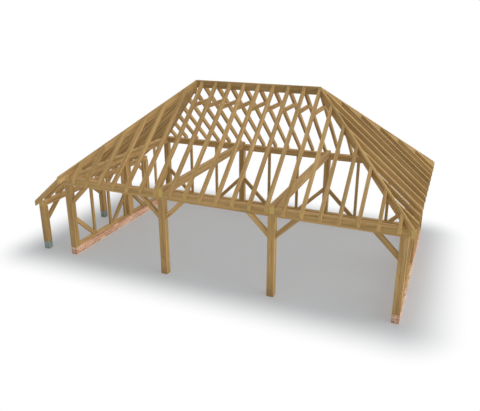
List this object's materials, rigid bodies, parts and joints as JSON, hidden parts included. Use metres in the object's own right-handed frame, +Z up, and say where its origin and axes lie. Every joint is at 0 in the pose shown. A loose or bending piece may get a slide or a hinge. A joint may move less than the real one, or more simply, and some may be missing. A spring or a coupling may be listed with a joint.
{
  "type": "hipped timber roof truss frame",
  "caption": "Oak roof truss frame with ridge, hips, jack rafters and collars on wall plates and tie beams, carried by braced posts and stud walls on brick plinths.",
  "frame": {"origin": "on the ground, in the middle of the roof's outline", "axes": "+X along the ridge away from the low aisle, +Y from the open front to the back wall, +Z up"},
  "size_m": [10.495, 5.69, 4.8],
  "materials": {
    "oak": "sawn, unfinished",
    "brick": "fired facing brick, mortar joints",
    "padstone": "dark dressed stone"
  },
  "bodies": {
    "root": {"aisle_knee_braces": "oak", "aisle_plate": "oak", "aisle_post_1": "oak", "aisle_post_2": "oak", "aisle_post_3": "oak", "back_left_hip": "oak", "back_left_jacks": "oak", "back_plate": "oak", "back_plinth": "brick", "back_post_1": "oak", "back_post_2": "oak", "back_post_3": "oak", "back_post_4": "oak", "back_rafters": "oak", "back_right_hip": "oak", "back_right_jacks": "oak", "back_sole_plates": "oak", "back_wall_braces": "oak", "back_wall_studs": "oak", "collars": "oak", "front_left_hip": "oak", "front_left_jacks": "oak", "front_plate": "oak", "front_post_1": "oak", "front_post_2": "oak", "front_post_3": "oak", "front_post_4": "oak", "front_rafters": "oak", "front_right_hip": "oak", "front_right_jacks": "oak", "knee_brace_1_right": "oak", "knee_brace_2_left": "oak", "knee_brace_2_right": "oak", "knee_brace_3_left": "oak", "knee_brace_3_right": "oak", "knee_brace_4_left": "oak", "left_end_rafters": "oak", "left_plate": "oak", "partition_braces": "oak", "partition_middle_post": "oak", "partition_plinth": "brick", "partition_sole_plates": "oak", "partition_studs": "oak", "post_pads": "padstone", "ridge_board": "oak", "right_end_rafters": "oak", "right_plate": "oak", "right_plinth": "brick", "right_wall_braces": "oak", "right_wall_middle_post": "oak", "right_wall_sole_plates": "oak", "right_wall_studs": "oak", "tie_beam_1": "oak", "tie_beam_2": "oak"}
  },
  "joints": []
}
